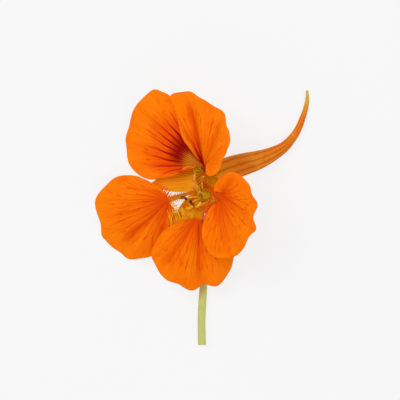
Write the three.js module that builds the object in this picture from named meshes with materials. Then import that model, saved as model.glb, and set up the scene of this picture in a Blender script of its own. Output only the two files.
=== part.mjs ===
// A nasturtium flower (Tropaeolum majus) cut with a short stalk and laid on its back.
// Millimetres, +Z up, the surface that it lies on is z = 0 and the stalk points to -Y.
// Points are given about the heart of the flower and the whole group is centred at the end.
import * as THREE from 'three';

// Driving dimensions.
const PETAL_THICKNESS = 0.4;
const SEPAL_THICKNESS = 0.4;
const SEPAL_SAG = 0.5;
const SPUR_WALL = 0.4;
const STALK_RADIUS = 1.1;
const FILAMENT_RADIUS = 0.2;
const OVARY_RADIUS = 1.2;
const ANTHER_LENGTH = 1.9;
const ANTHER_RADIUS = 0.42;

// Mesh fineness: cells across and along.
const PETAL_CELLS = { across: 24, claw: 3, blade: 9 };
const SEPAL_CELLS = { across: 6, along: 8 };

const COLOURS = {
  petal: '#f56a05',
  sepal: '#d98a16',
  spur: '#cf7430',
  stalk: '#b9c46f',
  filament: '#e0901c',
  anther: '#a8662c',
  ovary: '#b9a01a',
  style: '#d8a52a',
};

// The five petals. Bearings turn anticlockwise from +X; each rim row is a bearing in degrees,
// the reach from the knee and the height above the surface. A fold is its place across the
// blade from 0 to 1, its width in the same measure and its depth in millimetres.
const PETALS = {
  petal_lower_left: {
    root: [-1.9, -0.3, 10.6], knee: [-10.1, -2.9, 12.8], lift: 1.2,
    rootWidth: 0.9, kneeWidth: 1.7, arch: 0.8, ruffle: 0.35, waves: 7,
    rim: [
      [112, 1.3, 12.6], [128, 4.6, 11.4], [138, 8.6, 9.2], [148, 12.7, 6.8], [158, 16.4, 4.6],
      [172, 18.7, 2.6], [185, 20.7, 0.9], [197, 20, 1.2], [208, 21, 0.5], [214, 21, 0.4],
      [225, 20.1, 0.9], [236, 19.7, 1.4], [248, 17.2, 2.8], [261, 14.7, 4.6], [273, 10.5, 6.8], [286, 6.3, 9.4],
      [302, 2.5, 12],
    ],
    folds: [[0.3, 0.06, 0.35], [0.44, 0.05, -0.3], [0.62, 0.05, -0.8], [0.68, 0.05, 0.5],
      [0.8, 0.05, -0.4], [0.9, 0.06, 0.7]],
  },
  petal_lower_middle: {
    root: [-0.5, -3.7, 10.1], knee: [-1.9, -8.2, 12.9], lift: 0.8,
    rootWidth: 1.6, kneeWidth: 2.4, arch: 0.9, ruffle: 0.4, waves: 8,
    rim: [
      [180, 1.4, 12.9], [185, 4.2, 12.7], [194, 7.3, 11.2], [203, 11.4, 9.2], [214, 15.1, 7.6],
      [226, 17.5, 6.6], [243, 18.9, 6], [255, 19, 5.8], [265, 19.7, 5.4], [276, 18.6, 6.2],
      [288, 18.8, 6.4], [300, 17.3, 6.8], [312, 14.6, 7.2], [330, 10.5, 8.8], [338, 5.3, 11],
      [348, 1.6, 12.5],
    ],
    folds: [[0.22, 0.05, 0.5], [0.36, 0.05, -0.5], [0.5, 0.04, 0.5], [0.58, 0.04, -0.6],
      [0.66, 0.04, 0.5], [0.8, 0.06, -0.4]],
  },
  petal_lower_right: {
    root: [-0.1, 1.3, 9.6], knee: [4.6, -2, 16], lift: 1.2,
    rootWidth: 1.1, kneeWidth: 2.4, arch: 1, ruffle: 0.35, waves: 8,
    rim: [
      [-142, 2.2, 16], [-134, 5.4, 15.4], [-124, 9.4, 14.4], [-112, 13, 13.6], [-102, 16.3, 13.2],
      [-89, 16.9, 14.6], [-78, 16.7, 16.6], [-67, 15.7, 19], [-56, 13.2, 21.6], [-44, 12.8, 24],
      [-32, 10.4, 24.8], [-11, 9.6, 26.2], [6, 8.3, 25.6], [25, 8, 24.6], [53, 7.7, 22],
      [77, 6.8, 19.6], [98, 4.8, 17.8], [120, 3.8, 16.6], [143, 2.5, 16],
    ],
    folds: [[0.28, 0.05, -0.3], [0.42, 0.05, 0.4], [0.55, 0.04, -0.4], [0.64, 0.05, 0.3],
      [0.8, 0.06, -0.3]],
  },
  petal_upper_left: {
    root: [0.8, 4.9, 11.4], knee: [-1, 6.9, 13.5], lift: 0.5,
    rootWidth: 1.2, kneeWidth: 2.2, arch: 1.2, ruffle: 0.4, waves: 6,
    rim: [
      [86, 3.2, 13.6], [103, 9.6, 12.9], [109, 15.6, 11.6], [113, 19.8, 10.4], [118, 22.8, 9],
      [124, 24.7, 7.4], [134, 24.5, 5.2], [143, 24.2, 3.4], [151, 22.8, 2], [162, 21.8, 1],
      [174, 20.9, 1.4], [185, 19, 4.2], [195, 15.3, 7.8], [199, 11.6, 10], [198, 7.8, 11.6],
      [190, 4.3, 12.6], [190, 1.6, 13],
    ],
    folds: [[0.3, 0.05, 0.4], [0.4, 0.04, -0.4], [0.52, 0.05, 0.4], [0.66, 0.05, -0.4],
      [0.82, 0.06, 0.4]],
  },
  petal_upper_right: {
    root: [1.5, 4.6, 12.4], knee: [-0.1, 7.2, 14.8], lift: 0.4,
    rootWidth: 1.1, kneeWidth: 1.3, arch: 1.1, ruffle: 0.4, waves: 6,
    rim: [
      [-82, 1.9, 15.6], [-66, 3.9, 19.2], [2, 4.6, 22.6], [28, 7.1, 24.6], [45, 9.8, 25.2],
      [58, 11.9, 24.4], [70, 14.4, 22.6], [85, 16.6, 20], [96, 18.6, 17.8], [106, 20.7, 15.8],
      [116, 20.7, 14.6], [119, 18.1, 14.4], [123, 13.1, 14.4], [134, 7.1, 14.2], [144, 2, 13.8],
    ],
    folds: [[0.3, 0.05, 0.4], [0.42, 0.05, -0.4], [0.56, 0.04, 0.6], [0.64, 0.04, -0.8],
      [0.72, 0.04, 0.5], [0.86, 0.05, -0.4]],
  },
};

// The five sepals: the middle of the base, the tip, the width, how far the base reaches round
// the calyx and how far its sides lift.
const SEPALS = {
  sepal_left: { base: [-3.5, 2.9, 9.7], tip: [-15.2, 1.4, 7.4], width: 7.4, hug: 1.1, cup: 0.4 },
  sepal_lower_left: { base: [-2, -2.8, 8.7], tip: [-9.3, -10.3, 7.4], width: 5.6, hug: 0.7, cup: 0.2 },
  sepal_lower_right: { base: [2.6, -3.3, 8.9], tip: [8.8, -10.8, 7.2], width: 6, hug: 0.7, cup: 0.2 },
  sepal_upper_left: { base: [-1.6, 6.5, 10.9], tip: [-8.4, 18.6, 8], width: 5.4, hug: 0.5, cup: 0.2 },
  sepal_upper_right: { base: [2.2, 7.1, 11.7], tip: [3.4, 20.4, 12.2], width: 5.4, hug: 0.5, cup: 0.2 },
};

// The spur and the stalk: rows of x, y, z and radius, from the flower outwards. The spur's
// last number is how far its mouth is drawn out lengthways.
const SPUR = [
  [0.4, 1.6, 10.6, 3.6, 1.5], [1, 2.3, 8.9, 3.4, 1.3], [2.6, 3.7, 7.2, 3.4, 1.06],
  [5, 5, 5.9, 3.4, 1], [7.9, 6.1, 4.9, 3.4, 1], [11, 7.1, 3.9, 3.1, 1], [14.8, 8.2, 3, 2.65, 1],
  [18.8, 9.9, 2.15, 2.05, 1], [22.4, 12.2, 1.5, 1.45, 1], [25.5, 16, 1.1, 1.05, 1],
  [27.5, 20.7, 0.83, 0.82, 1], [28.5, 24.6, 0.62, 0.6, 1], [28.5, 27.4, 0.45, 0.36, 1],
];
const STALK = [
  [0.4, -2.3, 6.9, 1.5], [0.6, -3.1, 5.8, 1.2], [0.9, -4.6, 4.5, STALK_RADIUS],
  [1.2, -7.4, 3.2, STALK_RADIUS], [0.9, -12.2, 2.2, STALK_RADIUS], [0.1, -20.2, 1.4, STALK_RADIUS],
  [-0.4, -27.2, 1.15, STALK_RADIUS], [-0.9, -35.8, 1.1, STALK_RADIUS],
  [-0.8, -43.3, 1.1, STALK_RADIUS],
];

// The eight stamens: the angle of the foot around the ovary and the place of the anther.
const OVARY = [0.4, -1.7, 10.6];
const STAMENS = [
  { foot: 150, anther: [-3, 3.1, 15.6], turn: 75 },
  { foot: 168, anther: [-2.9, 0.8, 15.4], turn: 105 },
  { foot: 126, anther: [-0.9, 2.8, 15], turn: 50 },
  { foot: 187, anther: [-5.9, -2.4, 15], turn: 170 },
  { foot: 206, anther: [-3.7, -3.5, 15.4], turn: 110 },
  { foot: 226, anther: [-4.3, -5, 14], turn: 20 },
  { foot: 290, anther: [-1.8, -4.3, 14.2], turn: 40 },
  { foot: 15, anther: [2.6, -3.9, 14], turn: 120 },
];
const FOOT_RADIUS = 1.75;

const point = (row) => new THREE.Vector3(row[0], row[1], row[2]);
const radians = THREE.MathUtils.degToRad;
const mix = THREE.MathUtils.lerp;

// A smooth curve through rows of numbers, with t from 0 to 1 over the whole list.
function along(rows, t) {
  const s = THREE.MathUtils.clamp(t, 0, 1) * (rows.length - 1);
  const i = Math.min(Math.floor(s), rows.length - 2);
  const f = s - i;
  const at = (k) => rows[THREE.MathUtils.clamp(k, 0, rows.length - 1)];
  const [a, b, c, d] = [at(i - 1), at(i), at(i + 1), at(i + 2)];
  return b.map((_, k) => b[k] + 0.5 * f * (c[k] - a[k]
    + f * (2 * a[k] - 5 * b[k] + 4 * c[k] - d[k] + f * (3 * (b[k] - c[k]) + d[k] - a[k]))));
}

// A closed body from faces that index a list of points.
function body(name, points, faces, colour) {
  const geometry = new THREE.BufferGeometry().setFromPoints(points);
  geometry.setIndex(faces.flat());
  geometry.computeVertexNormals();
  const material = new THREE.MeshStandardMaterial({ color: colour, roughness: 0.6, metalness: 0 });
  const mesh = new THREE.Mesh(geometry, material);
  mesh.name = name;
  return mesh;
}

// The unit normals of a grid of points, upper side out.
function gridNormals(grid) {
  const rows = grid.length;
  const columns = grid[0].length;
  return grid.map((row, j) => row.map((_, i) => {
    const out = grid[Math.min(j + 1, rows - 1)][i].clone().sub(grid[Math.max(j - 1, 0)][i]);
    const side = row[Math.min(i + 1, columns - 1)].clone().sub(row[Math.max(i - 1, 0)]);
    return out.cross(side).normalize();
  }));
}

// A thin closed sheet around a grid of rows, which run outwards, of points that run anticlockwise.
function sheet(name, grid, normals, thickness, colour) {
  const rows = grid.length;
  const columns = grid[0].length;
  const points = [];
  const faces = [];
  for (const side of [0.5, -0.5]) {
    grid.forEach((row, j) => row.forEach((p, i) => {
      points.push(p.clone().addScaledVector(normals[j][i], side * thickness));
    }));
  }
  const top = (j, i) => j * columns + i;
  const under = (j, i) => rows * columns + top(j, i);
  for (let j = 0; j + 1 < rows; j++) {
    for (let i = 0; i + 1 < columns; i++) {
      const corners = [[j, i], [j + 1, i], [j + 1, i + 1], [j, i + 1]];
      const [a, b, c, d] = corners.map((at) => top(...at));
      const [e, f, g, h] = corners.map((at) => under(...at));
      faces.push([a, b, c], [a, c, d], [e, g, f], [e, h, g]);
    }
  }
  const edge = [];
  for (let j = 0; j + 1 < rows; j++) edge.push([j, 0]);
  for (let i = 0; i + 1 < columns; i++) edge.push([rows - 1, i]);
  for (let j = rows - 1; j > 0; j--) edge.push([j, columns - 1]);
  for (let i = columns - 1; i > 0; i--) edge.push([0, i]);
  edge.forEach((at, k) => {
    const next = edge[(k + 1) % edge.length];
    faces.push([top(...at), under(...at), under(...next)], [top(...at), under(...next), top(...next)]);
  });
  return body(name, points, faces, colour);
}

// The height of the folds and of the wavy margin above the smooth blade.
function relief(petal, u, v, reach) {
  const folds = petal.folds.reduce(
    (sum, [place, width, depth]) => sum + depth * Math.exp(-(((u - place) / width) ** 2)), 0);
  const wave = petal.ruffle * Math.min(reach / 8, 1);
  const ruffle = wave * Math.sin(2 * Math.PI * petal.waves * u) * v ** 3;
  return folds * Math.sin(Math.PI * Math.min(v, 0.75) ** 0.8) * 0.8 + ruffle;
}

// A petal is a narrow claw from its root to the knee and a blade that fans out to the rim.
function petal(name, p) {
  const { across, claw, blade } = PETAL_CELLS;
  const root = point(p.root);
  const knee = point(p.knee);
  const heading = knee.clone().sub(root).setZ(0).normalize();
  const sideways = new THREE.Vector3(-heading.y, heading.x, 0);
  const grid = [];
  for (let j = 0; j < claw; j++) {
    const t = j / claw;
    const centre = root.clone().lerp(knee, t);
    centre.z += p.lift * 4 * t * (1 - t);
    const width = mix(p.rootWidth, p.kneeWidth, t * t);
    grid.push(Array.from({ length: across + 1 },
      (_, i) => centre.clone().addScaledVector(sideways, (i / across - 0.5) * width)));
  }
  for (let j = 0; j <= blade; j++) {
    const v = (j / blade) ** 1.15;
    grid.push(Array.from({ length: across + 1 }, (_, i) => {
      const u = i / across;
      const [bearing, reach, height] = along(p.rim, u);
      const rim = knee.clone();
      rim.x += reach * Math.cos(radians(bearing));
      rim.y += reach * Math.sin(radians(bearing));
      rim.z = height;
      const start = knee.clone().addScaledVector(sideways, (u - 0.5) * p.kneeWidth);
      const at = start.lerp(rim, v);
      at.z += p.arch * 4 * v * (1 - v) * Math.sin(Math.PI * u);
      return at;
    }));
  }
  const smooth = gridNormals(grid);
  const shaped = grid.map((row, j) => row.map((at, i) => {
    const v = Math.max(0, (j - claw) / blade) ** 1.15;
    const reach = along(p.rim, i / across)[1];
    return at.clone().addScaledVector(smooth[j][i], relief(p, i / across, v, reach));
  }));
  // Where the blade narrows to the claw its rows share one normal, so that the sheet stays whole.
  const common = smooth[claw][across / 2];
  const normals = gridNormals(shaped).map((row, j) => row.map((n) => {
    const share = THREE.MathUtils.smoothstep(j, claw, claw + 3);
    return common.clone().lerp(n, share).normalize();
  }));
  return sheet(name, shaped, normals, PETAL_THICKNESS, COLOURS.petal);
}

// A sepal is a lance-shaped sheet from its base to the tip.
function sepal(name, s) {
  const { across, along: rows } = SEPAL_CELLS;
  const base = point(s.base);
  const tip = point(s.tip);
  const heading = tip.clone().sub(base).setZ(0).normalize();
  const sideways = new THREE.Vector3(-heading.y, heading.x, 0);
  const grid = Array.from({ length: rows + 1 }, (_, j) => {
    const t = j / rows;
    const half = 0.5 * s.width * (1 - 0.94 * t ** 2.2) * (0.82 + 0.6 * t * (1 - t));
    return Array.from({ length: across + 1 }, (_, i) => {
      const side = 2 * (i / across) - 1;
      const at = base.clone().lerp(tip, t).addScaledVector(sideways, side * half);
      at.addScaledVector(heading, -s.hug * side * side * (1 - t) ** 2);
      at.z += s.cup * side * side * (1 - t) - SEPAL_SAG * 4 * t * (1 - t);
      return at;
    });
  });
  return sheet(name, grid, gridNormals(grid), SEPAL_THICKNESS, COLOURS.sepal);
}

// Rings of points around a path of x, y, z and radius, each square to the path.
function rings(path, steps, around, grow = 0) {
  const start = point(path[1]).sub(point(path[0])).normalize();
  const across = new THREE.Vector3(0, 1, 0).cross(start);
  const right = across.length() > 0.4 ? across : new THREE.Vector3(0, 0, 1).cross(start);
  return Array.from({ length: steps + 1 }, (_, j) => {
    const t = j / steps;
    const row = along(path, t);
    const ahead = point(along(path, t + 0.01)).sub(point(along(path, t - 0.01))).normalize();
    right.addScaledVector(ahead, -ahead.dot(right)).normalize();
    const up = ahead.clone().cross(right);
    return Array.from({ length: around }, (_, i) => {
      const angle = (2 * Math.PI * i) / around;
      return point(row)
        .addScaledVector(right, (row[3] + grow) * Math.cos(angle))
        .addScaledVector(up, (row[3] * (row[4] ?? 1) + grow) * Math.sin(angle));
    });
  });
}

// A closed body through rings in order, with a flat cap on the first and the last.
function loft(name, stack, colour) {
  const around = stack[0].length;
  const points = stack.flat();
  const faces = [];
  for (let j = 0; j + 1 < stack.length; j++) {
    for (let i = 0; i < around; i++) {
      const a = j * around + i;
      const b = j * around + ((i + 1) % around);
      faces.push([a, b, b + around], [a, b + around, a + around]);
    }
  }
  for (const [first, flip] of [[0, true], [(stack.length - 1) * around, false]]) {
    for (let i = 1; i + 1 < around; i++) {
      const cap = [first, first + i, first + i + 1];
      faces.push(flip ? cap.reverse() : cap);
    }
  }
  return body(name, points, faces, colour);
}

// The calyx tube and its spur: out along the outer skin, over the mouth and in along the bore.
function spur() {
  const around = 16;
  const outer = rings(SPUR, 20, around);
  const bore = rings(SPUR, 20, around, -SPUR_WALL).slice(0, 15);
  return loft('calyx_spur', [...bore.reverse(), ...outer], COLOURS.spur);
}

function stalk() {
  return loft('stalk', rings(STALK, 20, 12), COLOURS.stalk);
}

// A three-lobed ball on the head of the stalk.
function ovary() {
  const stack = Array.from({ length: 9 }, (_, j) => {
    const latitude = Math.PI * (0.08 + 0.84 * (j / 8));
    return Array.from({ length: 18 }, (_, i) => {
      const angle = (2 * Math.PI * i) / 18;
      const r = OVARY_RADIUS * Math.sin(latitude) * (1 + 0.08 * Math.cos(3 * angle));
      return new THREE.Vector3(
        r * Math.cos(angle), r * Math.sin(angle), -OVARY_RADIUS * Math.cos(latitude));
    });
  });
  const mesh = loft('ovary', stack, COLOURS.ovary);
  mesh.position.set(...OVARY);
  return mesh;
}

// The slender style with its fine tip, from the ovary towards the viewer.
function style() {
  const [x, y, z] = OVARY;
  const path = [
    [x - 0.1, y + 0.1, z + 1.3, 0.24], [x - 0.7, y + 0.5, z + 2.6, 0.2],
    [x - 1.5, y + 0.9, z + 3.8, 0.17], [x - 2, y + 1.1, z + 4.6, 0.24],
  ];
  return loft('style', rings(path, 7, 8), COLOURS.style);
}

function filament(name, stamen) {
  const foot = radians(stamen.foot);
  const [x, y, z] = OVARY;
  const [ax, ay, az] = stamen.anther;
  const start = [x + FOOT_RADIUS * Math.cos(foot), y + FOOT_RADIUS * Math.sin(foot), z - 0.9];
  const end = [ax, ay, az - ANTHER_RADIUS - 0.15];
  const path = [
    [...start, FILAMENT_RADIUS * 1.15],
    [mix(start[0], end[0], 0.28), mix(start[1], end[1], 0.28), mix(start[2], end[2], 0.42),
      FILAMENT_RADIUS],
    [mix(start[0], end[0], 0.68), mix(start[1], end[1], 0.68), mix(start[2], end[2], 0.8),
      FILAMENT_RADIUS * 0.9],
    [...end, FILAMENT_RADIUS * 0.7],
  ];
  return loft(name, rings(path, 8, 7), COLOURS.filament);
}

function anther(name, stamen) {
  const path = [-1, -0.5, 0, 0.5, 1].map((s) => [
    (s * ANTHER_LENGTH) / 2, 0, 0.25 * (1 - s * s),
    ANTHER_RADIUS * (0.55 + 0.45 * Math.sqrt(1 - 0.9 * s * s)),
  ]);
  const mesh = loft(name, rings(path, 6, 8), COLOURS.anther);
  mesh.position.set(...stamen.anther);
  mesh.rotation.z = radians(stamen.turn);
  return mesh;
}

const flower = new THREE.Group();
flower.name = 'nasturtium_flower';
flower.add(spur(), stalk(), ovary(), style());
for (const [name, p] of Object.entries(PETALS)) flower.add(petal(name, p));
for (const [name, s] of Object.entries(SEPALS)) flower.add(sepal(name, s));
STAMENS.forEach((stamen, k) => {
  flower.add(filament(`filament_${k + 1}`, stamen), anther(`anther_${k + 1}`, stamen));
});

// The frame's origin is the middle of the underside.
const box = new THREE.Box3().setFromObject(flower);
flower.position.set(-(box.min.x + box.max.x) / 2, -(box.min.y + box.max.y) / 2, -box.min.z);

export default flower;
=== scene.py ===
"""A cut nasturtium flower (Tropaeolum majus) laid on its back, seen from straight above.

Every piece is a finer copy of a CAD node: the petals, sepals, spur, stalk and stamens are grown
from the same few measures, in millimetres about the heart of the flower, and set down where the
CAD ovary is.
"""
import math

import bpy
import numpy as np
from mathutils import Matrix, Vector


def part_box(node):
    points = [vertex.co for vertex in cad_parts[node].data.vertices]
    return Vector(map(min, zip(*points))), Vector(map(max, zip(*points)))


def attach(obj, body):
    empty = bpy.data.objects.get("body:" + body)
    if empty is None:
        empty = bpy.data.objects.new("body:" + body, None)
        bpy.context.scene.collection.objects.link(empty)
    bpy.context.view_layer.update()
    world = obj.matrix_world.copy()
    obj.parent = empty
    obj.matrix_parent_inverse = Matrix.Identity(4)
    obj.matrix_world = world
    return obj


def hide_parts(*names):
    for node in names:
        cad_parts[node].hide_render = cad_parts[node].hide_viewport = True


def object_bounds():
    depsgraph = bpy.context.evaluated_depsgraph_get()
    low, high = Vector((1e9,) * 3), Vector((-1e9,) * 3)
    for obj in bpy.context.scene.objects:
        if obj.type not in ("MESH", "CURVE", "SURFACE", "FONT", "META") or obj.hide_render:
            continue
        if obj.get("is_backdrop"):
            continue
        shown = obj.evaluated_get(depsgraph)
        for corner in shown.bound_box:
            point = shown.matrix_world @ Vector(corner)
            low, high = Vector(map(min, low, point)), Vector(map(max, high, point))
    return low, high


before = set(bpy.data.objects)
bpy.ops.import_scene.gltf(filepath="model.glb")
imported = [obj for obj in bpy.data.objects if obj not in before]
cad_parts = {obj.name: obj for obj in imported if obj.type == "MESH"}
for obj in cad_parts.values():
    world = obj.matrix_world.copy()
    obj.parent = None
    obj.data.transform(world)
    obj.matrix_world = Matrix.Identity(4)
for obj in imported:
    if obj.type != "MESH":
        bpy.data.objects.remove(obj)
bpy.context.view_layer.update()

MM = 0.001

# ---------------------------------------------------------------- measures, in millimetres

PETAL_THICKNESS = 0.28
SEPAL_THICKNESS = 0.3
SEPAL_SAG = 0.5
FILAMENT_RADIUS = 0.2
OVARY_RADIUS = 1.2
OVARY = (0.4, -1.7, 10.6)
FOOT_RADIUS = 1.75

# A petal is a claw from its root up to its knee and a blade that fans out from there. Each rim
# row is a bearing in degrees, the reach from the knee and the height of the margin. A fold is its
# place across the blade from 0 to 1, its width in the same measure and its depth.
PETALS = {
    "petal_lower_left": dict(
        root=(-1.9, -0.3, 10.6), knee=(-10.1, -2.9, 12.8), lift=1.2,
        root_width=0.9, knee_width=1.7, arch=0.8, ruffle=0.35, waves=7,
        rim=[(112, 1.3, 12.6), (128, 4.6, 11.4), (138, 8.6, 9.2), (148, 12.7, 6.8),
             (158, 16.4, 4.6), (172, 18.7, 2.6), (185, 20.7, 0.9), (197, 20, 1.2),
             (208, 21, 0.5), (214, 21, 0.4), (225, 20.1, 0.9), (236, 19.7, 1.4),
             (248, 17.2, 2.8), (261, 14.7, 4.6), (273, 10.5, 6.8), (286, 6.3, 9.4),
             (302, 2.5, 12)],
        folds=[(0.3, 0.06, 0.35), (0.44, 0.05, -0.3), (0.62, 0.05, -0.8), (0.68, 0.05, 0.5),
               (0.8, 0.05, -0.4), (0.9, 0.06, 0.7)]),
    "petal_lower_middle": dict(
        root=(-0.5, -3.7, 10.1), knee=(-1.9, -8.2, 12.9), lift=0.8,
        root_width=1.6, knee_width=2.4, arch=0.9, ruffle=0.4, waves=8,
        rim=[(180, 1.4, 12.9), (185, 4.2, 12.7), (194, 7.3, 11.2), (203, 11.4, 9.2),
             (214, 15.1, 7.6), (226, 17.5, 6.6), (243, 18.9, 6), (255, 19, 5.8),
             (265, 19.7, 5.4), (276, 18.6, 6.2), (288, 18.8, 6.4), (300, 17.3, 6.8),
             (312, 14.6, 7.2), (330, 10.5, 8.8), (338, 5.3, 11), (348, 1.6, 12.5)],
        folds=[(0.22, 0.05, 0.5), (0.36, 0.05, -0.5), (0.5, 0.04, 0.5), (0.58, 0.04, -0.6),
               (0.66, 0.04, 0.5), (0.8, 0.06, -0.4)]),
    "petal_lower_right": dict(
        root=(-0.1, 1.3, 9.6), knee=(4.6, -2, 16), lift=1.2,
        root_width=1.1, knee_width=2.4, arch=1, ruffle=0.35, waves=8,
        rim=[(-142, 2.2, 16), (-134, 5.4, 15.4), (-124, 9.4, 14.4), (-112, 13, 13.6),
             (-102, 16.3, 13.2), (-89, 16.9, 14.6), (-78, 16.7, 16.6), (-67, 15.7, 19),
             (-56, 13.2, 21.6), (-44, 12.8, 24), (-32, 10.4, 24.8), (-11, 9.6, 26.2),
             (6, 8.3, 25.6), (25, 8, 24.6), (53, 7.7, 22), (77, 6.8, 19.6),
             (98, 4.8, 17.8), (120, 3.8, 16.6), (143, 2.5, 16)],
        folds=[(0.28, 0.05, -0.3), (0.42, 0.05, 0.4), (0.55, 0.04, -0.4), (0.64, 0.05, 0.3),
               (0.8, 0.06, -0.3)]),
    "petal_upper_left": dict(
        root=(0.8, 4.9, 11.4), knee=(-1, 6.9, 13.5), lift=0.5,
        root_width=1.2, knee_width=2.2, arch=1.2, ruffle=0.4, waves=6,
        rim=[(86, 3.2, 13.6), (103, 9.6, 12.9), (109, 15.6, 11.6), (113, 19.8, 10.4),
             (118, 22.8, 9), (124, 24.7, 7.4), (134, 24.5, 5.2), (143, 24.2, 3.4),
             (151, 22.8, 2), (162, 21.8, 1), (174, 20.9, 1.4), (185, 19, 4.2),
             (195, 15.3, 7.8), (199, 11.6, 10), (198, 7.8, 11.6), (190, 4.3, 12.6),
             (190, 1.6, 13)],
        folds=[(0.3, 0.05, 0.4), (0.4, 0.04, -0.4), (0.52, 0.05, 0.4), (0.66, 0.05, -0.4),
               (0.82, 0.06, 0.4)]),
    "petal_upper_right": dict(
        root=(1.5, 4.6, 12.4), knee=(-0.1, 7.2, 14.8), lift=0.4,
        root_width=1.1, knee_width=1.3, arch=1.1, ruffle=0.4, waves=6,
        rim=[(-82, 1.9, 15.6), (-66, 3.9, 19.2), (2, 4.6, 22.6), (28, 7.1, 24.6),
             (45, 9.8, 25.2), (58, 11.9, 24.4), (70, 14.4, 22.6), (85, 16.6, 20),
             (96, 18.6, 17.8), (106, 20.7, 15.8), (116, 20.7, 14.6), (119, 18.1, 14.4),
             (123, 13.1, 14.4), (134, 7.1, 14.2), (144, 2, 13.8)],
        folds=[(0.3, 0.05, 0.4), (0.42, 0.05, -0.4), (0.56, 0.04, 0.6), (0.64, 0.04, -0.8),
               (0.72, 0.04, 0.5), (0.86, 0.05, -0.4)]),
}

# hug is how far the sides of the base curl back around the calyx, and cup how far they rise.
SEPALS = {
    "sepal_left": dict(base=(-3.5, 2.9, 9.7), tip=(-15.2, 1.4, 7.4), width=7.4, hug=1.1, cup=0.4),
    "sepal_lower_left": dict(
        base=(-2, -2.8, 8.7), tip=(-9.3, -10.3, 7.4), width=5.6, hug=0.7, cup=0.2),
    "sepal_lower_right": dict(
        base=(2.6, -3.3, 8.9), tip=(8.8, -10.8, 7.2), width=6, hug=0.7, cup=0.2),
    "sepal_upper_left": dict(
        base=(-1.6, 6.5, 10.9), tip=(-8.4, 18.6, 8), width=5.4, hug=0.5, cup=0.2),
    "sepal_upper_right": dict(
        base=(2.2, 7.1, 11.7), tip=(3.4, 20.4, 12.2), width=5.4, hug=0.5, cup=0.2),
}

# Rows of x, y, z, radius and, at the mouth, how far it is drawn out lengthways.
SPUR = [
    (0.4, 1.6, 10.6, 3.6, 1.5), (1, 2.3, 8.9, 3.4, 1.3), (2.6, 3.7, 7.2, 3.4, 1.06),
    (5, 5, 5.9, 3.4, 1), (7.9, 6.1, 4.9, 3.4, 1), (11, 7.1, 3.9, 3.1, 1),
    (14.8, 8.2, 3, 2.65, 1), (18.8, 9.9, 2.15, 2.05, 1), (22.4, 12.2, 1.5, 1.45, 1),
    (25.5, 16, 1.1, 1.05, 1), (27.5, 20.7, 0.83, 0.82, 1), (28.5, 24.6, 0.62, 0.6, 1),
    (28.5, 27.4, 0.45, 0.36, 1),
]
SPUR_WALL = 0.3
SPUR_STEPS, SPUR_AROUND, BORE_STEPS = 150, 96, 108
MOUTH_STEPS, MOUTH_FLARE = 7, 0.12
STALK = [
    (0.4, -2.3, 6.9, 1.5, 1), (0.6, -3.1, 5.8, 1.2, 1), (0.9, -4.6, 4.5, 1.1, 1),
    (1.2, -7.4, 3.2, 1.1, 1), (0.9, -12.2, 2.2, 1.1, 1), (0.1, -20.2, 1.4, 1.1, 1),
    (-0.4, -27.2, 1.15, 1.1, 1), (-0.9, -35.8, 1.1, 1.1, 1), (-0.8, -43.3, 1.1, 1.1, 1),
]
STALK_STEPS, STALK_AROUND = 140, 48

# The angle of the foot around the ovary, the anther's place and turn, and how much it curls.
STAMENS = [
    dict(foot=150, anther=(-3, 3.1, 15.6), turn=75, curl=0.5, skin="tan"),
    dict(foot=168, anther=(-2.9, 0.8, 15.4), turn=105, curl=-0.5, skin="tan"),
    dict(foot=126, anther=(-0.9, 2.8, 15), turn=50, curl=0.3, skin="tan"),
    dict(foot=187, anther=(-5.9, -2.4, 15), turn=170, curl=0.6, skin="brown"),
    dict(foot=206, anther=(-3.7, -3.5, 15.4), turn=110, curl=-0.7, skin="brown"),
    dict(foot=226, anther=(-4.3, -5, 14), turn=20, curl=0.4, skin="fresh"),
    dict(foot=290, anther=(-1.8, -4.3, 14.2), turn=40, curl=0.4, skin="fresh"),
    dict(foot=15, anther=(2.6, -3.9, 14), turn=120, curl=0.3, skin="fresh"),
]
ANTHER_LENGTH = 1.9
ANTHER_RADIUS = 0.42

# The row frame's place for the heart of the flower.
ovary_low, ovary_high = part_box("ovary")
HEART = np.array([(a + b) / 2 for a, b in zip(ovary_low, ovary_high)]) - np.array(OVARY) * MM

# ---------------------------------------------------------------- shapes


def along(rows, t):
    """A smooth curve through rows of numbers, at each t from 0 to 1 over the whole list."""
    rows = np.asarray(rows, float)
    s = np.clip(np.asarray(t, float), 0, 1) * (len(rows) - 1)
    i = np.minimum(s.astype(int), len(rows) - 2)
    f = (s - i)[..., None]
    a, b, c, d = (rows[np.clip(i + k, 0, len(rows) - 1)] for k in (-1, 0, 1, 2))
    return b + 0.5 * f * (c - a + f * (2 * a - 5 * b + 4 * c - d + f * (3 * (b - c) + d - a)))


def unit(v):
    return v / np.maximum(np.linalg.norm(v, axis=-1, keepdims=True), 1e-9)


def smoothstep(x, low, high):
    t = np.clip((x - low) / (high - low), 0, 1)
    return t * t * (3 - 2 * t)


def grid_normals(grid):
    """Unit normals of a grid whose rows run outwards and whose columns run anticlockwise."""
    return unit(np.cross(np.gradient(grid, axis=0), np.gradient(grid, axis=1)))


def grid_faces(rows, columns, start=0, flip=False, wrap=False):
    """Quads over a grid of points; wrap joins the last column to the first."""
    faces = []
    for j in range(rows - 1):
        for i in range(columns if wrap else columns - 1):
            n = (i + 1) % columns
            quad = (j * columns + i, (j + 1) * columns + i, (j + 1) * columns + n, j * columns + n)
            faces.append(tuple(start + k for k in (reversed(quad) if flip else quad)))
    return faces


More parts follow.
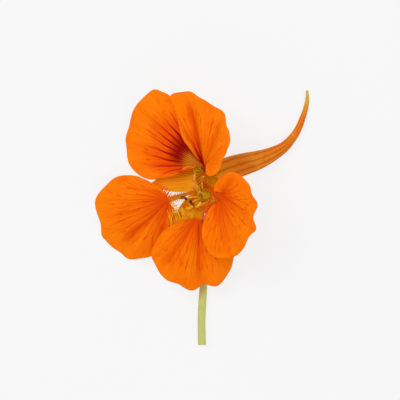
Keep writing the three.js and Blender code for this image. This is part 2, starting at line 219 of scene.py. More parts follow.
class Shape:
    """Vertices in millimetres with a UV for each, faces, and the material slot of each face."""

    def __init__(self):
        self.points, self.uv, self.faces, self.slots = [], [], [], []

    def add(self, points, uv, faces, slot=0):
        start = len(self.points)
        self.points.extend(map(tuple, np.reshape(points, (-1, 3))))
        self.uv.extend(map(tuple, np.reshape(uv, (-1, 2))))
        self.faces.extend(tuple(start + k for k in face) for face in faces)
        self.slots.extend([slot] * len(faces))

    def add_sheet(self, grid, normals, thickness, uv, slot=0):
        """A thin closed sheet; thickness is a number or one for each point of the grid."""
        rows, columns = grid.shape[:2]
        half = 0.5 * np.broadcast_to(thickness, (rows, columns))[..., None]
        count = rows * columns
        faces = grid_faces(rows, columns) + grid_faces(rows, columns, count, flip=True)
        edge = [j * columns for j in range(rows - 1)]
        edge += [(rows - 1) * columns + i for i in range(columns - 1)]
        edge += [j * columns + columns - 1 for j in range(rows - 1, 0, -1)]
        edge += list(range(columns - 1, 0, -1))
        for a, b in zip(edge, edge[1:] + edge[:1]):
            faces.append((a, a + count, b + count, b))
        self.add(np.stack([grid + half * normals, grid - half * normals]),
                 np.stack([uv, uv]), faces, slot)

    def add_loft(self, rings, slot=0, capped=True):
        """A tube through rings of points, with v along it and u around it."""
        steps, around = rings.shape[:2]
        v, u = np.meshgrid(np.linspace(0, 1, steps), np.arange(around) / around, indexing="ij")
        faces = grid_faces(steps, around, flip=True, wrap=True)
        if capped:
            last = (steps - 1) * around
            faces.append(tuple(reversed(range(around))))
            faces.append(tuple(range(last, last + around)))
        self.add(rings, np.stack([u, v], axis=-1), faces, slot)

    def build(self, node, slot, *materials):
        """The finished piece, which rides on the root body and stands for a CAD node."""
        mesh = bpy.data.meshes.new("flower_" + node)
        place = np.array(self.points) * MM + HEART
        mesh.from_pydata([tuple(p) for p in place], [], self.faces)
        layer = mesh.uv_layers.new(name="growth")
        corners = np.empty(len(mesh.loops), int)
        mesh.loops.foreach_get("vertex_index", corners)
        layer.data.foreach_set("uv", np.array(self.uv)[corners].ravel())
        for material in materials:
            mesh.materials.append(material)
        mesh.polygons.foreach_set("material_index", self.slots)
        mesh.polygons.foreach_set("use_smooth", [True] * len(self.faces))
        mesh.validate()
        piece = bpy.data.objects.new("flower_" + node, mesh)
        bpy.context.scene.collection.objects.link(piece)
        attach(piece, "root")
        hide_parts(node)
        return piece


def tube_rings(path, steps, around, radius=lambda t, angle: 1.0, grow=0.0):
    """Rings around a path of x, y, z, radius and stretch; radius() shapes them further."""
    t = np.linspace(0, 1, steps)
    rows = along(path, t)
    ahead = unit(along(path, t + 0.01)[:, :3] - along(path, t - 0.01)[:, :3])
    start = unit(np.subtract(path[1][:3], path[0][:3]))
    right = np.cross((0, 1, 0), start)
    if np.linalg.norm(right) <= 0.4:
        right = np.cross((0, 0, 1), start)
    angle = 2 * math.pi * np.arange(around) / around
    rings = []
    for k in range(steps):
        right = unit(right - ahead[k] * ahead[k].dot(right))
        up = np.cross(ahead[k], right)
        shape = radius(t[k], angle)
        wide = (rows[k, 3] * shape + grow) * np.cos(angle)
        tall = (rows[k, 3] * rows[k, 4] * shape + grow) * np.sin(angle)
        rings.append(rows[k, :3] + wide[:, None] * right + tall[:, None] * up)
    return np.array(rings)


# ---------------------------------------------------------------- petals

ACROSS, CLAW_ROWS, BLADE_ROWS = 140, 14, 64
VEINS = 23


def relief(p, u, v, reach, seed):
    """The height of the folds, the wavy margin and the fine veins above the smooth blade."""
    folds = sum(depth * np.exp(-((u - place) / width) ** 2) for place, width, depth in p["folds"])
    height = folds * np.sin(math.pi * np.minimum(v, 0.75) ** 0.8) * 0.8
    ruffle = p["ruffle"] * np.minimum(reach / 8, 1)
    height = height + ruffle * np.sin(2 * math.pi * p["waves"] * u) * v ** 3
    frill = np.sin(31 * u + seed) + 0.7 * np.sin(57 * u + 2.3 * seed) + 0.5 * np.sin(93 * u)
    height = height + 0.11 * frill * v ** 7
    vein = np.abs((u * VEINS + 0.12 * np.sin(9 * v + 20 * u)) % 1 - 0.5)
    return height - 0.06 * np.exp(-(vein / 0.13) ** 2) * smoothstep(v, 0.08, 0.3) * (1 - 0.6 * v)


def petal_grid(p, seed):
    """The middle surface of a petal, its normals and its UVs: u across, v out from the knee."""
    root, knee = np.array(p["root"], float), np.array(p["knee"], float)
    heading = unit((knee - root) * (1, 1, 0))
    sideways = np.array([-heading[1], heading[0], 0])
    u = np.linspace(0, 1, ACROSS + 1)
    # The claw starts a little below the CAD root, where it grows out of the calyx.
    t = (np.arange(CLAW_ROWS) / CLAW_ROWS * 1.15 - 0.15)[:, None, None]
    centre = root + (knee - root) * t + np.array([0, 0, p["lift"]]) * 4 * t * (1 - t)
    width = p["root_width"] + (p["knee_width"] - p["root_width"]) * t * np.abs(t)
    claw = centre + sideways * (u[None, :, None] - 0.5) * width
    channel = 0.16 * (2 * u - 1) ** 2 * np.sin(math.pi * np.maximum(t[..., 0], 0))
    claw = claw + channel[..., None] * np.array([0, 0, 1])

    v = (np.arange(BLADE_ROWS + 1) / BLADE_ROWS)[:, None] ** 1.15
    bearing, reach, height = along(p["rim"], u).T
    scallop = 0.14 * np.sin(37 * u + seed) + 0.1 * np.sin(71 * u + 3 * seed)
    reach = reach + scallop * smoothstep(reach, 4, 12)
    rim = np.stack([knee[0] + reach * np.cos(np.radians(bearing)),
                    knee[1] + reach * np.sin(np.radians(bearing)), height], axis=-1)
    start = knee + sideways * (u[:, None] - 0.5) * p["knee_width"]
    blade = start + (rim - start) * v[..., None]
    blade[..., 2] += p["arch"] * 4 * v * (1 - v) * np.sin(math.pi * u)

    grid = np.concatenate([claw, blade])
    growth_v = np.concatenate([(t[:, :, 0] - 1) * 0.3 * np.ones_like(u), v * np.ones_like(u)])
    smooth = grid_normals(grid)
    grid = grid + smooth * relief(p, u, np.maximum(growth_v, 0), reach, seed)[..., None]
    # Where the blade narrows to the claw its rows share one normal, so the sheet stays whole.
    common = smooth[CLAW_ROWS, ACROSS // 2]
    share = smoothstep(growth_v, 0, 0.22)[..., None]
    normals = unit(common + (grid_normals(grid) - common) * share)
    return grid, normals, np.stack([np.broadcast_to(u, growth_v.shape), growth_v], axis=-1)


def add_lash(shape, foot, direction, length, droop, slot):
    """One soft tapering hair of the fringe."""
    ahead = unit(np.asarray(direction, float))
    path = [(*(foot + ahead * length * s + np.array([0, 0, droop]) * s * s),
             0.17 * (1 - 0.75 * s), 1) for s in (0, 0.35, 0.7, 1)]
    shape.add_loft(tube_rings(path, 7, 6), slot)


def add_fringe(shape, grid, rows, seed):
    """Lashes along a margin, from the claw past the knee and on around the rim."""
    rng = np.random.default_rng(seed)
    for side, first, last, count, length, bearing, end_bearing, slot in rows:
        column = 0 if side < 0 else ACROSS
        margin = np.concatenate([grid[:, column], grid[-1, ::-1] if side > 0 else grid[-1]])
        reach = np.cumsum(np.linalg.norm(np.diff(margin, axis=0, prepend=margin[:1]), axis=1))
        reach -= reach[CLAW_ROWS]
        for k in range(count):
            share = (k + rng.uniform(0.3, 0.7)) / count
            at = first + (last - first) * share
            foot = np.array([np.interp(at, reach, margin[:, axis]) for axis in range(3)])
            turn = math.radians(bearing + (end_bearing - bearing) * share + rng.normal(0, 10))
            rise = rng.uniform(0.05, 0.4)
            add_lash(shape, foot, (math.cos(turn), math.sin(turn), rise),
                     length * rng.uniform(0.75, 1.15), rng.uniform(-0.4, 0.3), slot)


# Each fringe is its side of the petal, where it starts and ends in millimetres past the knee,
# how many lashes, how long, their bearing at its start and end, and their material.
FRINGES = {
    "petal_lower_left": [
        (-1, -6.5, -0.4, 11, 0.9, 80, 65, 1), (-1, -0.4, 3.8, 8, 1.8, 60, 40, 2),
        (1, -5, -0.3, 8, 1.0, -80, -50, 1), (1, -0.3, 4.6, 9, 2.2, 5, 35, 1)],
    "petal_lower_middle": [
        (-1, -4.4, 0.4, 19, 3.4, 165, 122, 1), (-1, 0.4, 7.6, 26, 4.0, 120, 96, 1),
        (1, -4.6, 3, 17, 2.7, 60, 80, 2)],
    "petal_lower_right": [(-1, -2.4, 5, 19, 2.6, 215, 175, 2)],
}


def make_petal(name, p, seed, *materials):
    shape = Shape()
    grid, normals, uv = petal_grid(p, seed)
    v = np.maximum(uv[..., 1], 0)
    shape.add_sheet(grid, normals, PETAL_THICKNESS * (1 - 0.45 * v ** 4), uv)
    add_fringe(shape, grid, FRINGES.get(name, []), seed)
    shape.build(name, "petal", *materials)


# ---------------------------------------------------------------- sepals, calyx and stalk


def make_sepal(name, s, material):
    base, tip = np.array(s["base"], float), np.array(s["tip"], float)
    heading = unit((tip - base) * (1, 1, 0))
    sideways = np.array([-heading[1], heading[0], 0])
    # The base runs on a little, into the wall of the calyx that it is part of in life.
    t = np.linspace(-0.4 / np.linalg.norm(tip - base), 1, 50)[:, None]
    u = np.linspace(0, 1, 41)[None, :]
    side = 2 * u - 1
    half = 0.5 * s["width"] * (1 - 0.94 * np.maximum(t, 0) ** 2.2) * (0.82 + 0.6 * t * (1 - t))
    grid = base + (tip - base) * t[..., None] + sideways * (side * half)[..., None]
    sunk = np.maximum(-t, 0) / -t[0, 0]
    hug = side ** 2 * (s["hug"] * (1 - t) ** 2 + 0.6 * sunk)
    grid = grid - heading * hug[..., None]
    ribs = 0.05 * np.cos(2 * math.pi * 5 * u) * (1 - t) - 0.12 * np.exp(-(side / 0.1) ** 2)
    grid[..., 2] += s["cup"] * side ** 2 * (1 - t) - SEPAL_SAG * 4 * t * (1 - t) + ribs
    shape = Shape()
    uv = np.stack(np.broadcast_arrays(u, t), axis=-1)
    thickness = SEPAL_THICKNESS * (1 - 0.5 * np.abs(side) ** 3) * np.ones_like(t)
    shape.add_sheet(grid, grid_normals(grid), thickness, uv)
    shape.build(name, "sepal", material)


def make_spur(outside, inside):
    """The calyx tube with its long bent spur: ribbed outside, open at the mouth."""
    def ribbed(t, angle):
        ribs = 0.5 + 0.5 * np.cos(10 * angle + 2 * t)
        return 1 - 0.035 * ribs ** 2 * (1 - 0.5 * t) + 0.012 * np.sin(26 * t + 2 * angle)
    skin = tube_rings(SPUR, SPUR_STEPS, SPUR_AROUND, ribbed)
    bore = tube_rings(SPUR, SPUR_STEPS, SPUR_AROUND, ribbed, -SPUR_WALL)[:BORE_STEPS][::-1]
    # The mouth flares a little to meet the sepals and the claws that stand on it.
    for k in range(MOUTH_STEPS):
        centre = skin[k].mean(axis=0)
        skin[k] = centre + (skin[k] - centre) * (1 + MOUTH_FLARE * (1 - k / MOUTH_STEPS) ** 2)
    # The lip between the bore and the skin is rounded, and the tip closes to a blunt point.
    middle = (bore[-1] + skin[0]) / 2
    lip = middle + (skin[0] - skin[1]).mean(axis=0) * 0.35
    tip = skin[-1].mean(axis=0)
    ahead = unit(tip - skin[-3].mean(axis=0))
    nose = [tip + (skin[-1] - tip) * math.cos(a) + ahead * 0.3 * math.sin(a)
            for a in (0.5, 0.95, 1.35)]
    shape = Shape()
    shape.add_loft(np.concatenate([bore, lip[None], skin, nose]))
    inner_faces = BORE_STEPS * SPUR_AROUND
    shape.slots[:inner_faces] = [1] * inner_faces
    # u goes round the spur and v along it, from the mouth to the tip, inside and out.
    along_bore = np.linspace(BORE_STEPS / SPUR_STEPS, 0, BORE_STEPS)
    v = np.concatenate([along_bore, [0], np.linspace(0, 1, SPUR_STEPS), [1] * len(nose)])
    shape.uv = [(u, level) for level in v for u in np.arange(SPUR_AROUND) / SPUR_AROUND]
    shape.build("calyx_spur", "calyx", outside, inside)


def make_stalk(skin, cut):
    def fluted(t, angle):
        return 1 + 0.02 * np.cos(5 * angle + t) + 0.012 * np.sin(40 * t)
    rings = tube_rings(STALK, STALK_STEPS, STALK_AROUND, fluted)
    shape = Shape()
    shape.add_loft(rings, capped=False)
    # The cut end: a ring of skin around paler pith, a little sunk.
    end = rings[-1].mean(axis=0)
    ahead = unit(end - rings[-4].mean(axis=0))
    face = np.stack([end + (rings[-1] - end) * r - ahead * sink
                     for r, sink in ((1, 0), (0.93, -0.03), (0.8, 0.05), (0.35, 0.12), (0.1, 0.1))])
    shape.add_loft(face, slot=1, capped=False)
    first = len(shape.points) - STALK_AROUND
    shape.faces.append(tuple(range(first, first + STALK_AROUND)))
    shape.slots.append(1)
    shape.faces.append(tuple(reversed(range(STALK_AROUND))))
    shape.slots.append(0)
    shape.build("stalk", "stalk", skin, cut)


# ---------------------------------------------------------------- pistil and stamens


def make_ovary(material):
    latitude = np.linspace(0.05, 0.95, 33)[:, None] * math.pi
    angle = 2 * math.pi * np.arange(60)[None, :] / 60
    lobes = 1 + 0.09 * np.cos(3 * angle) - 0.04 * np.exp(-((angle * 3 / math.pi) % 2 - 1) ** 2 * 30)
    r = OVARY_RADIUS * np.sin(latitude) * lobes
    z = -OVARY_RADIUS * np.cos(latitude) * np.ones_like(angle)
    ball = np.stack([r * np.cos(angle), r * np.sin(angle), z], axis=-1) + OVARY
    shape = Shape()
    shape.add_loft(ball[:, ::-1][::-1])
    shape.build("ovary", "ovary", material)


def make_style(material):
    x, y, z = OVARY
    path = [(x - 0.1, y + 0.1, z + 1.3, 0.24, 1), (x - 0.7, y + 0.5, z + 2.6, 0.2, 1),
            (x - 1.5, y + 0.9, z + 3.8, 0.17, 1), (x - 2, y + 1.1, z + 4.6, 0.16, 1)]
    shape = Shape()
    shape.add_loft(tube_rings(path, 30, 16))
    head = np.array(path[-1][:3])
    for turn in (0.4, 2.5, 4.6):
        arm = np.array([math.cos(turn), math.sin(turn), 0.5]) * 0.32
        branch = [(*(head - 0.1 * arm), 0.11, 1), (*(head + 0.5 * arm), 0.1, 1),
                  (*(head + arm + (0, 0, 0.02)), 0.06, 1)]
        shape.add_loft(tube_rings(branch, 8, 8))
    shape.build("style", "style", material)


def make_filament(name, stamen, material):
    foot = math.radians(stamen["foot"])
    start = np.array([OVARY[0] + FOOT_RADIUS * math.cos(foot),
                      OVARY[1] + FOOT_RADIUS * math.sin(foot), OVARY[2] - 0.9])
    end = np.array(stamen["anther"], float) - (0, 0, ANTHER_RADIUS + 0.02)
    path = [(*start, FILAMENT_RADIUS * 1.15, 1)]
    for level, rise, size in ((0.28, 0.42, 1), (0.68, 0.8, 0.9), (1, 1, 0.55)):
        at = start + (end - start) * (level, level, rise)
        path.append((*at, FILAMENT_RADIUS * size, 1))
    shape = Shape()
    shape.add_loft(tube_rings(path, 36, 14))
    shape.build(name, "filament", material)


def make_anther(name, stamen, material):
    """A split pollen sac: two lobes with a groove between them, curling as it dries."""
    turn = math.radians(stamen["turn"])
    s = np.linspace(-1, 1, 9)
    bend = stamen["curl"] * (s ** 2 - 0.4) * 0.75
    east = s * ANTHER_LENGTH / 2 * math.cos(turn) - bend * math.sin(turn)
    north = s * ANTHER_LENGTH / 2 * math.sin(turn) + bend * math.cos(turn)
    x, y, z = stamen["anther"]
    path = [(x + e, y + n, z + 0.25 * (1 - k * k),
             ANTHER_RADIUS * (0.5 + 0.45 * math.sqrt(1 - 0.9 * k * k)), 1)
            for e, n, k in zip(east, north, s)]

    def split(t, angle):
        lobes = 1 - 0.34 * np.exp(-((np.sin(angle - math.pi / 2) - 1) / 0.16) ** 2)
        return lobes - 0.2 * np.exp(-((np.sin(angle - math.pi / 2) + 1) / 0.1) ** 2)
    shape = Shape()
    shape.add_loft(tube_rings(path, 30, 32, split))
    shape.build(name, "anther", material)


# ---------------------------------------------------------------- materials


class Field:
    """A number that varies over a surface. Arithmetic on it adds Math nodes."""

    def __init__(self, tree, socket):
        self.tree, self.socket = tree, socket

    def math(self, operation, *others):
        node = self.tree.nodes.new("ShaderNodeMath")
        node.operation = operation
        for target, value in zip(node.inputs, (self, *others)):
            connect(self.tree, value, target)
        return Field(self.tree, node.outputs[0])

    def __add__(self, other):
        return self.math("ADD", other)

    def __sub__(self, other):
        return self.math("SUBTRACT", other)

    def __mul__(self, other):
        return self.math("MULTIPLY", other)

    def __truediv__(self, other):
        return self.math("DIVIDE", other)

    def flip(self):
        """One minus this."""
        return (self * -1.0) + 1.0

    def power(self, exponent):
        return self.math("POWER", exponent)

    def peak(self, centre, width):
        """1 at centre, falling smoothly to 0 a couple of widths away."""
        away = (self - centre) / width
        return (away * away + 1.0).power(-2.0)

    def stripe(self):
        """0 on the lines where this is a whole number, 0.5 midway."""
        return self.math("PINGPONG", 0.5)

    def step(self, low, high):
        """0 below low and 1 above high, smooth between; low may be the larger."""
        if isinstance(low, (int, float)) and low > high:
            return self.step(high, low).flip()
        node = self.tree.nodes.new("ShaderNodeMapRange")
        node.interpolation_type = "SMOOTHSTEP"
        connect(self.tree, self, node.inputs["Value"])
        connect(self.tree, low, node.inputs["From Min"])
        connect(self.tree, high, node.inputs["From Max"])
        return Field(self.tree, node.outputs["Result"])


def connect(tree, value, target):
    """Links a Field or a socket to an input, or sets a constant on it."""
    if isinstance(value, Field):
        value = value.socket
    if isinstance(value, bpy.types.NodeSocket):
        tree.links.new(value, target)
    else:
        target.default_value = value


def linear(red, green, blue):
    """An sRGB colour, 0 to 255, as the linear colour that a shader takes."""
    def level(c):
        c /= 255
        return c / 12.92 if c <= 0.04045 else ((c + 0.055) / 1.055) ** 2.4
    return (level(red), level(green), level(blue), 1.0)


class Paint:
    """A material in the making: growth UVs, noise, colour mixing and a bump."""

    def __init__(self, name, roughness=0.5, subsurface=0.12, depth=0.6, specular=0.08):
        self.material = bpy.data.materials.new(name)
        self.material.use_nodes = True
        self.tree = self.material.node_tree
        self.shader = self.tree.nodes["Principled BSDF"]
        self.shader.inputs["Roughness"].default_value = roughness
        self.shader.inputs["Subsurface Weight"].default_value = subsurface
        self.shader.inputs["Subsurface Radius"].default_value = (1.0, 0.6, 0.1)
        self.shader.inputs["Subsurface Scale"].default_value = depth * MM
        self.shader.inputs["Specular IOR Level"].default_value = specular
        growth = self.tree.nodes.new("ShaderNodeUVMap")
        growth.uv_map = "growth"
        split = self.tree.nodes.new("ShaderNodeSeparateXYZ")
        self.tree.links.new(growth.outputs[0], split.inputs[0])
        self.growth = growth.outputs[0]
        self.u = Field(self.tree, split.outputs[0])
        self.v = Field(self.tree, split.outputs[1])
        place = self.tree.nodes.new("ShaderNodeTexCoord")
        self.place = place.outputs["Object"]
        self.colour = None

    def noise(self, scale, detail=2.0, source=None, stretch=(1, 1, 1)):
        """Noise around 0.5; scale is per metre of the object, or per unit of a given source."""
        mapping = self.tree.nodes.new("ShaderNodeMapping")
        mapping.inputs["Scale"].default_value = stretch
        self.tree.links.new(source or self.place, mapping.inputs["Vector"])
        node = self.tree.nodes.new("ShaderNodeTexNoise")
        node.inputs["Scale"].default_value = scale
        node.inputs["Detail"].default_value = detail
        self.tree.links.new(mapping.outputs[0], node.inputs["Vector"])
        return Field(self.tree, node.outputs[0])

    def start(self, colour):
        self.colour = colour

    def lay(self, colour, amount):
        """Lays a colour over what is there, by an amount from 0 to 1."""
        node = self.tree.nodes.new("ShaderNodeMix")
        node.data_type = "RGBA"
        node.clamp_factor = True
        connect(self.tree, amount, node.inputs["Factor"])
        connect(self.tree, self.colour, node.inputs["A"])
        connect(self.tree, colour, node.inputs["B"])
        self.colour = node.outputs["Result"]

    def roughen(self, field, low, high):
        node = self.tree.nodes.new("ShaderNodeMapRange")
        connect(self.tree, field, node.inputs["Value"])
        node.inputs["To Min"].default_value = low
        node.inputs["To Max"].default_value = high
        self.tree.links.new(node.outputs[0], self.shader.inputs["Roughness"])

    def bump(self, field, depth):
        node = self.tree.nodes.new("ShaderNodeBump")
        node.inputs["Strength"].default_value = 0.6
        node.inputs["Distance"].default_value = depth * MM
        connect(self.tree, field, node.inputs["Height"])
        self.tree.links.new(node.outputs[0], self.shader.inputs["Normal"])

    def finish(self):
        connect(self.tree, self.colour, self.shader.inputs["Base Color"])
        return self.material


ORANGE = linear(249, 117, 4)
ORANGE_LIGHT = linear(255, 134, 6)
ORANGE_DEEP = linear(240, 88, 2)
RED_ORANGE = linear(226, 58, 2)
CRIMSON = linear(156, 12, 3)
MAROON = linear(142, 7, 3)
GOLD = linear(216, 130, 30)


def petal_base(name, folds, short):
    """What all petals share: mottled orange, fine veins that fan out, and painted highlight on the
    raised folds and creases with painted shade in the sunk ones.

    The creases die out towards the side where the blade is short.
    """
    paint = Paint(name, roughness=0.6, subsurface=0.12, specular=0.02)
    warp = paint.noise(2.4, 1.0, paint.growth, (1.6, 1, 1))
    u = paint.u + (warp - 0.5) * 0.05
    paint.start(ORANGE)
    paint.lay(ORANGE_DEEP, paint.noise(140, 3).step(0.45, 0.75) * 0.4)
    paint.lay(ORANGE_LIGHT, paint.v.step(0.5, 1.0) * paint.noise(90, 2).step(0.3, 0.7) * 0.6)
    # Painted highlight along the raised folds and painted shade along the sunk folds, following the
    # fold relief of the shape.
    for place, width, depth in folds:
        painted_fold_shading = ORANGE_LIGHT if depth > 0 else linear(208, 62, 2)
        paint.lay(painted_fold_shading, u.peak(place, width * 0.6) * paint.v.step(1.05, 0.6) * abs(depth) * 1.1)
    # The crease noise also bumps the surface: its ridges get painted highlight streaks and its
    # grooves painted shade streaks.
    creases = paint.noise(1.0, 3, paint.growth, (64, 5, 1))
    creases = (creases - 0.5) * paint.u.step(*short) + 0.5
    fade = paint.v.step(1.1, 0.6)
    paint.lay(ORANGE_LIGHT, creases.step(0.42, 0.3) * paint.v.step(0.1, 0.5) * 0.6)
    paint.lay(linear(216, 66, 2), creases.step(0.54, 0.68) * fade * 0.75)
    fine = (u * (VEINS * 2.0)).stripe().step(0.22, 0.02)
    coarse = (u * float(VEINS)).stripe().step(0.2, 0.0)
    veins = fine * 0.5 + coarse * 0.6
    paint.lay(linear(226, 76, 2), veins * paint.v.step(1.0, 0.3) * 0.6)
    grain = paint.noise(2600, 3)
    paint.bump(creases * -1.6 + veins * -0.6 + grain * 0.5 + paint.noise(500, 2) * 0.8, 0.16)
    paint.roughen(grain, 0.5, 0.7)
    return paint, u


def lower_petal_material(name, folds, short, flush, claw):
    """Deeper red-orange at the base, by the amount flush, with thin red lines that fade out."""
    paint, u = petal_base(name, folds, short)
    lines = (u * (VEINS * 0.7)).stripe().step(0.16, 0.0)
    paint.lay(RED_ORANGE, paint.v.step(0.55, 0.0) * flush)
    paint.lay(linear(196, 40, 2), lines * paint.v.step(0.75, 0.1) * 0.6)
    paint.lay(claw, paint.v.step(0.02, -0.05))
    stripes = (u * 5.0).stripe().step(0.2, 0.05)
    paint.lay(linear(206, 92, 6), paint.v.step(0.0, -0.03) * stripes * 0.6)
    return paint.finish()


def upper_petal_material(name, folds, short, left, right, reach, gold):
    """A maroon blotch that breaks up into dark guide lines, and a golden lined claw.

    left and right bound the blotch across the blade; reach and gold are how far out it and the
    gold of the claw run.
    """
    paint, u = petal_base(name, folds, short)
    lines = (u * 18.0).stripe()
    width = ((paint.v + 0.03) / 0.085).power(-1.0)
    line = lines.step(width, width * 0.3)
    window = u.step(left - 0.2, left + 0.05) * u.step(right + 0.4, right + 0.1)
    paint.lay(RED_ORANGE, window * paint.v.step(reach + 0.3, reach - 0.1) * 0.75)
    paint.lay(CRIMSON, line * window * paint.v.step(reach + 0.26, reach - 0.1))
    inside = u.step(left - 0.05, left + 0.07) * u.step(right + 0.06, right - 0.08)
    ragged = paint.v + line * -0.1 + paint.noise(260, 2) * 0.08
    paint.lay(MAROON, inside * ragged.step(reach, reach - 0.16) * 0.94)
    ribs = (u * 30.0).stripe()
    claw = (paint.v - u * 0.12 - ribs * 0.16 + 0.03).step(gold, gold - 0.14)
    paint.lay(GOLD, claw * u.step(left + 0.1, left + 0.26) * 0.95)
    paint.lay(MAROON, claw * ribs.step(0.26, 0.08) * 0.85)
    paint.lay(linear(176, 70, 6), paint.v.step(0.0, -0.1))
    return paint.finish()


def lash_material(name, foot, tip):
    paint = Paint(name, roughness=0.5, subsurface=0.4)
    paint.start(foot)
    paint.lay(tip, paint.v.step(0.1, 0.9))
    paint.lay(linear(196, 84, 6), paint.noise(420, 1).step(0.52, 0.66) * 0.6)
    return paint.finish()


def sepal_material():
    """Yellow with a warmer tip, and dark lines along its upper part."""
    paint = Paint("sepal", roughness=0.55, subsurface=0.5, depth=1.2)
    u = paint.u + (paint.noise(3.0, 2, paint.growth) - 0.5) * 0.05
    paint.start(linear(234, 154, 6))
    paint.lay(linear(244, 174, 24), paint.noise(160, 3).step(0.4, 0.7) * 0.6)
    paint.lay(linear(226, 122, 6), paint.v.step(0.5, 1.0) * 0.5)
    lines = (u * 11.0).stripe().step(0.14, 0.02)
    paint.lay(linear(190, 84, 4), lines * paint.v.step(0.95, 0.2) * 0.3)
    stripes = (u * 13.0).stripe().step(0.2, 0.06) * paint.u.step(0.42, 0.3)
    paint.lay(linear(118, 36, 2), stripes * paint.v.step(0.5, 0.2) * 0.85)
    paint.bump(lines * -1.0 + paint.noise(1800, 3) * 0.4, 0.1)
    return paint.finish()


def spur_material():
    """Orange-brown with darker lines lengthways, yellower below and green-gold at the tip."""
    paint = Paint("spur", roughness=0.5, subsurface=0.3, depth=1.0, specular=0.04)
    u = paint.u + (paint.noise(4.0, 2, paint.growth, (1, 4, 1)) - 0.5) * 0.04
    paint.start(linear(224, 118, 12))
    paint.lay(linear(242, 154, 44), paint.noise(220, 3).step(0.42, 0.7) * 0.6)
    paint.lay(linear(236, 156, 6), paint.v.step(0.42, 0.1) * 0.8)
    lines = (u * 10.0).stripe().step(0.2, 0.02)
    paint.lay(linear(160, 68, 10), lines * 0.5)
    paint.lay(linear(232, 158, 92), (u * 10.0 + 0.5).stripe().step(0.12, 0.0) * 0.4)
    paint.lay(linear(212, 178, 72), paint.v.step(0.8, 0.97))
    paint.bump(lines * -1.0 + paint.noise(1500, 3) * 0.5, 0.1)
    return paint.finish()


def throat_material():
    """The yellow inside of the calyx, with short dark lines near its lip."""
    paint = Paint("throat", roughness=0.55, subsurface=0.9, depth=1.6)
    u = paint.u + (paint.noise(3.0, 2, paint.growth) - 0.5) * 0.02
    paint.start(linear(232, 176, 14))
    paint.lay(linear(214, 150, 8), paint.v.step(0.0, 0.35) * 0.7)
    stripes = (u * 26.0).stripe().step(0.2, 0.06)
    paint.lay(linear(92, 32, 2), stripes * paint.v.step(0.2, 0.08) * 0.8)
    return paint.finish()


def stalk_material():
    paint = Paint("stalk", roughness=0.45, subsurface=0.15, specular=0.25)
    paint.start(linear(188, 187, 96))
    paint.lay(linear(204, 205, 128), paint.noise(90, 2, stretch=(1, 0.2, 1)).step(0.4, 0.7) * 0.7)
    lines = (paint.u * 22.0 + paint.noise(60, 2) * 1.2).stripe().step(0.25, 0.0)
    paint.lay(linear(168, 172, 84), lines * 0.35)
    paint.bump(lines * -0.8 + paint.noise(1600, 2) * 0.4, 0.06)
    return paint.finish()


def pith_material():
    paint = Paint("pith", roughness=0.6, subsurface=0.2)
    paint.start(linear(206, 210, 150))
    paint.lay(linear(164, 170, 92), paint.v.step(0.55, 0.1))
    paint.lay(linear(226, 228, 182), paint.noise(2400, 2).step(0.5, 0.7) * 0.6)
    return paint.finish()


def mottled_material(name, base, patch, tip, roughness=0.5, scale=900):
    """Small round parts: a base colour, patches of another and a third towards the end."""
    paint = Paint(name, roughness=roughness, subsurface=0.12)
    paint.start(base)
    paint.lay(patch, paint.noise(scale, 3).step(0.42, 0.62))
    paint.lay(tip, paint.v.step(0.6, 1.0) * 0.8)
    paint.bump(paint.noise(scale * 2.5, 3), 0.08)
    return paint.finish()


def floor_material():
    """Plain near-white paper, lit a little from within so that shadows on it stay faint."""
    paint = Paint("paper", roughness=0.9, subsurface=0.0)
    paint.start(linear(100, 100, 101))
    paint.lay(linear(98, 98, 99), paint.noise(30, 2))
    paint.shader.inputs["Emission Color"].default_value = (1, 1, 1, 1)
    paint.shader.inputs["Emission Strength"].default_value = 0.8
    return paint.finish()


# ---------------------------------------------------------------- the flower

lashes = [lash_material("lash_yellow", linear(238, 150, 10), linear(250, 188, 36)),
          lash_material("lash_red", linear(226, 74, 4), linear(240, 120, 12))]
petal_materials = {}
for name, *paints in (("petal_upper_left", (0.0, 0.08), 0.22, 0.64, 0.52, 0.2),
                      ("petal_upper_right", (0.12, 0.34), 0.7, 1.1, 0.3, -0.2)):
    petal_materials[name] = upper_petal_material(name, PETALS[name]["folds"], *paints)
for name, *paints in (("petal_lower_left", (0.0, 0.1), 0.7, linear(226, 126, 10)),
                      ("petal_lower_middle", (0.0, 0.1), 0.55, linear(242, 146, 12)),
                      ("petal_lower_right", (1.0, 0.6), 0.6, linear(230, 86, 8))):
    petal_materials[name] = lower_petal_material(name, PETALS[name]["folds"], *paints)
for seed, (name, p) in enumerate(PETALS.items()):
    make_petal(name, p, seed + 1, petal_materials[name], *lashes)

sepal_skin = sepal_material()
for name, s in SEPALS.items():
    make_sepal(name, s, sepal_skin)

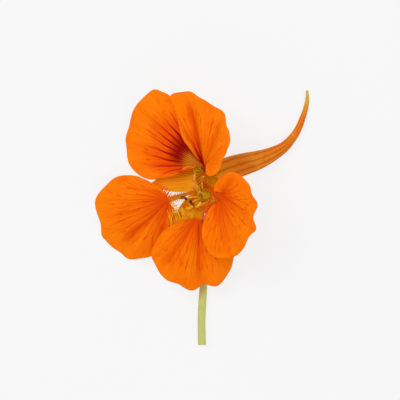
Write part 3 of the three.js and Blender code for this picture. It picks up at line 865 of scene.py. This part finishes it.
make_spur(spur_material(), throat_material())
make_stalk(stalk_material(), pith_material())
make_ovary(mottled_material("ovary", linear(186, 150, 6), linear(204, 168, 20),
                            linear(170, 130, 4), 0.4))
make_style(mottled_material("style", linear(226, 180, 60), linear(214, 160, 40),
                            linear(236, 196, 90)))
filament_skin = mottled_material("filament", linear(244, 178, 20), linear(250, 194, 60),
                                 linear(240, 150, 16))
tan = mottled_material("anther_tan", linear(222, 134, 34), linear(160, 84, 20),
                       linear(232, 158, 70), 0.7)
fresh = mottled_material("anther_fresh", linear(236, 168, 26), linear(214, 132, 20),
                         linear(244, 186, 50), 0.7)
brown = mottled_material("anther_brown", linear(120, 66, 26), linear(70, 34, 14),
                         linear(172, 112, 60), 0.7)
anther_skins = {"tan": tan, "fresh": fresh, "brown": brown}
for k, stamen in enumerate(STAMENS, 1):
    make_filament(f"filament_{k}", stamen, filament_skin)
    make_anther(f"anther_{k}", stamen, anther_skins[stamen["skin"]])

# ---------------------------------------------------------------- floor, lights and camera

low, high = (np.array(corner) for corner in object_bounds())
middle = (low + high) / 2
size = high - low

bpy.ops.mesh.primitive_plane_add(size=8, location=(middle[0], middle[1], 0))
floor = bpy.context.object
floor.name = "paper_floor"
floor.data.materials.append(floor_material())
floor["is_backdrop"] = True


def area_light(name, offset, width, watts):
    """A square soft light at an offset from the flower, aimed at it."""
    light = bpy.data.lights.new(name, "AREA")
    light.size = width
    light.energy = watts
    lamp = bpy.data.objects.new(name, light)
    lamp.location = middle + np.array(offset)
    lamp.rotation_euler = (-Vector(offset)).to_track_quat("-Z", "Y").to_euler()
    bpy.context.scene.collection.objects.link(lamp)


area_light("key", (-0.4, 0.35, 0.8), 0.5, 4.0)
area_light("fill", (0.5, -0.3, 0.8), 0.8, 1.9)

world = bpy.data.worlds.new("studio")
bpy.context.scene.world = world
world.use_nodes = True
world.node_tree.nodes["Background"].inputs["Color"].default_value = (1, 1, 1, 1)
world.node_tree.nodes["Background"].inputs["Strength"].default_value = 0.61

# A long lens straight above; the flower sits a little low in the view.
VIEW_TO_LENGTH = 1.556
DISTANCE = 1.1
SENSOR = 36
lens = bpy.data.cameras.new("camera")
lens.sensor_width = SENSOR
lens.lens = SENSOR * DISTANCE / (VIEW_TO_LENGTH * size[1])
lens.clip_end = 20
camera = bpy.data.objects.new("camera", lens)
camera.location = (middle[0] - 0.6 * MM, middle[1] + 4.9 * MM, DISTANCE + 10 * MM)
bpy.context.scene.collection.objects.link(camera)
bpy.context.scene.camera = camera
bpy.context.scene.view_settings.view_transform = "Standard"
bpy.context.scene.view_settings.look = "None"
